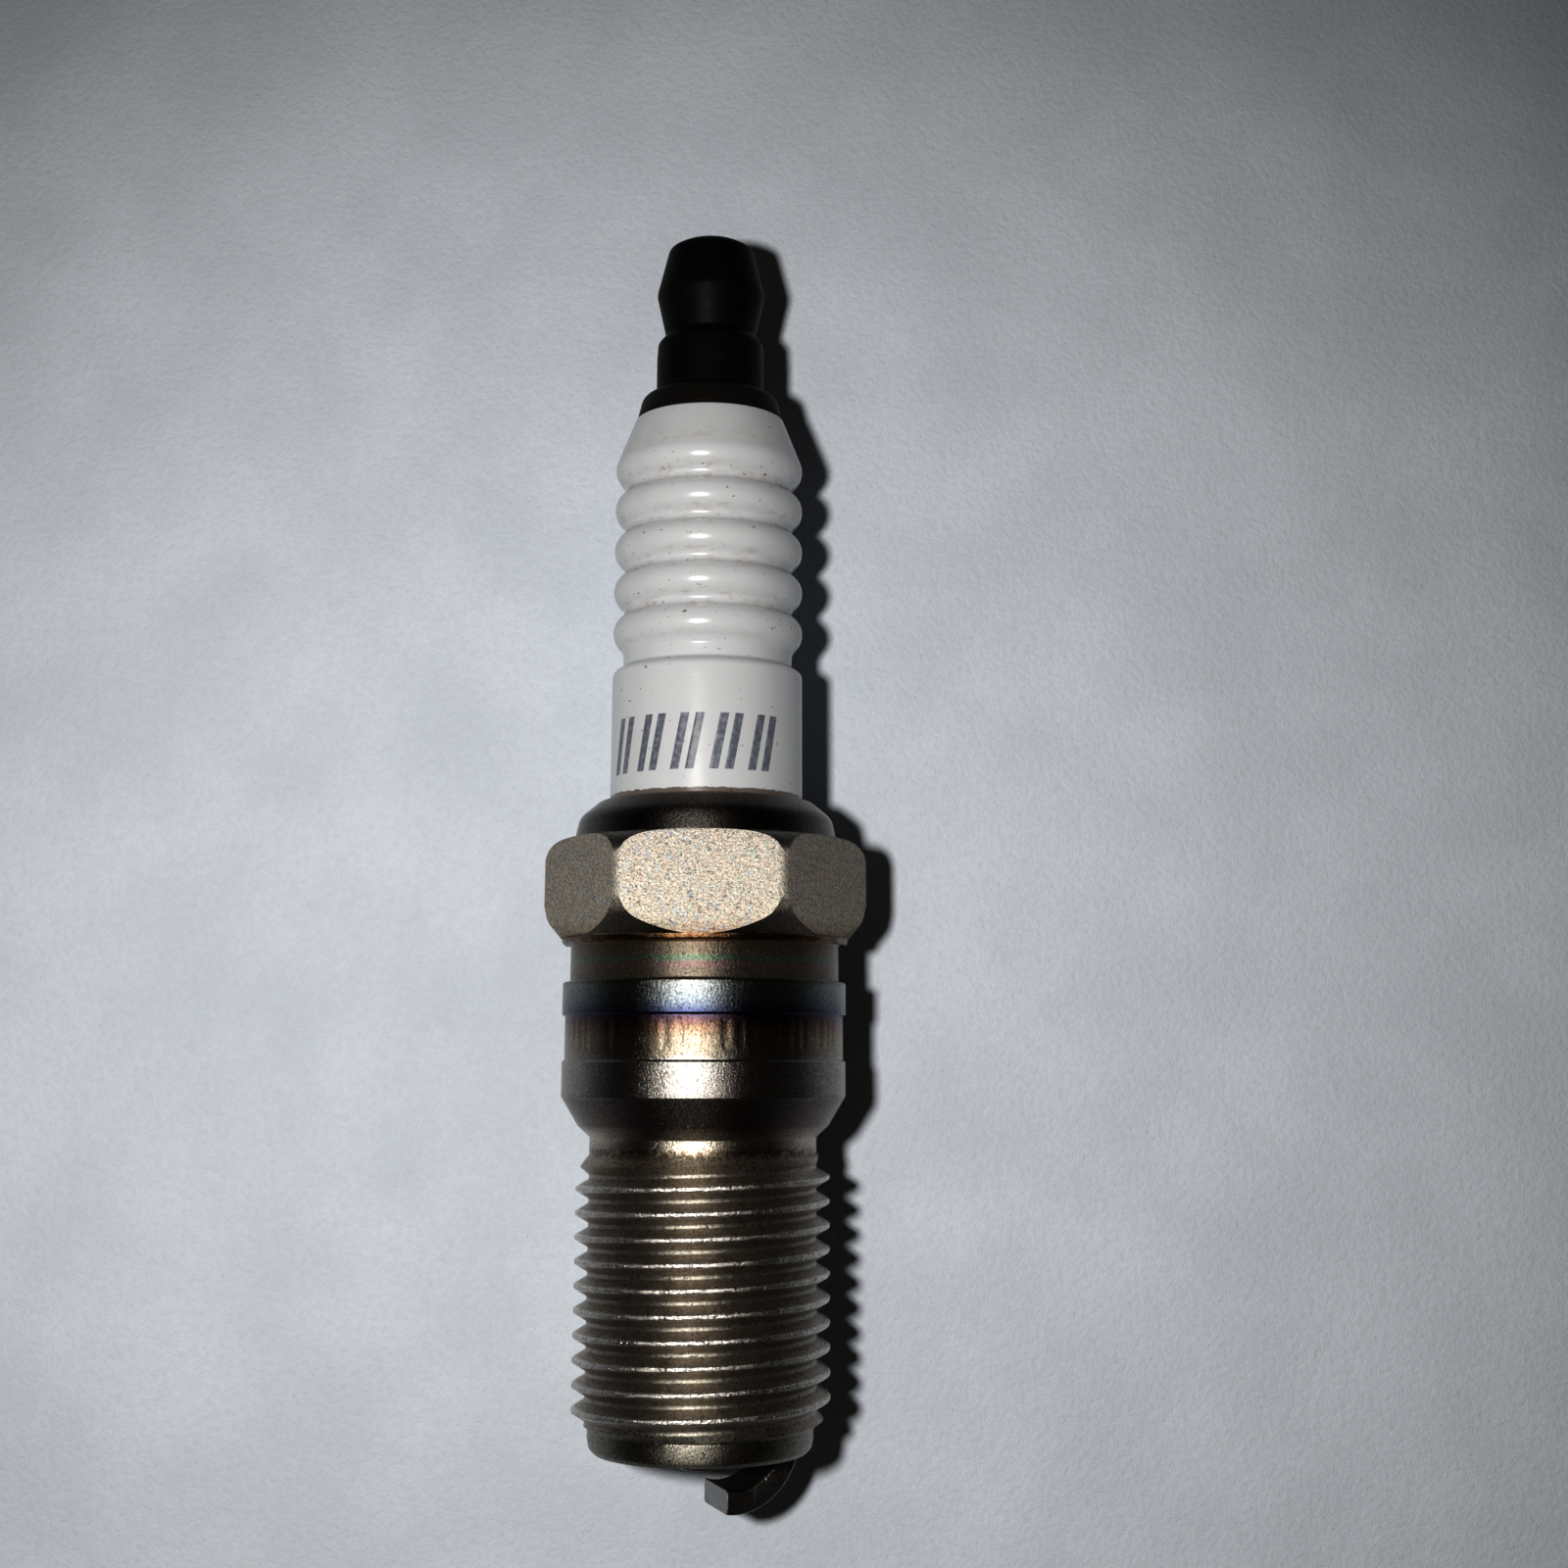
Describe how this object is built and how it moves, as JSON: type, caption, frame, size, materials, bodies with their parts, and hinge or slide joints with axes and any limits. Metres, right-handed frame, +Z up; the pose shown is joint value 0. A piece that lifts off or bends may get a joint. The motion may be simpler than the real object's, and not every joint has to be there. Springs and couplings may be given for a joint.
{
  "type": "spark plug",
  "caption": "Spark plug with a conical seat, long-reach thread, wrench hexagon, ribbed white insulator, black screw-on terminal nut and a bent ground electrode.",
  "frame": {"origin": "on the plug's axis, at the large end of the conical seat", "axes": "+Y along the axis towards the terminal, +Z up with the plug lying on a flat of its hexagon, +X across the other corners of the hexagon"},
  "size_m": [0.0181, 0.0711, 0.0158],
  "materials": {
    "terminal_black": "matt black oxide on turned steel",
    "plated_steel": "satin",
    "alumina_glazed": "glossy glaze with fine brown specks in the grooves",
    "nickel_plated_steel": "satin nickel plate with blue, purple and straw heat tint",
    "ring_steel": "satin",
    "gasket_steel": "satin",
    "talc": "pressed powder, matt",
    "glass_seal": "fused glass with copper powder",
    "resistor_compound": "fused glass with carbon",
    "nickel_alloy": "drawn nickel alloy, darkened",
    "copper": "drawn"
  },
  "bodies": {
    "plug": {"terminal_stud": "plated_steel", "insulator": "alumina_glazed", "metal_shell": "nickel_plated_steel", "upper_packing_ring": "ring_steel", "talc_packing": "talc", "lower_packing_ring": "ring_steel", "seat_gasket": "gasket_steel", "upper_glass_seal": "glass_seal", "suppressor_resistor": "resistor_compound", "lower_glass_seal": "glass_seal", "center_electrode": "nickel_alloy", "center_electrode_core": "copper", "ground_electrode": "nickel_alloy"},
    "terminal": {"terminal_nut": "terminal_black"}
  },
  "joints": [
    {"name": "terminal_unscrew", "type": "slide", "parent": "plug", "child": "terminal", "axis": [0, 1, 0], "range_m": [0, 0.007]}
  ]
}
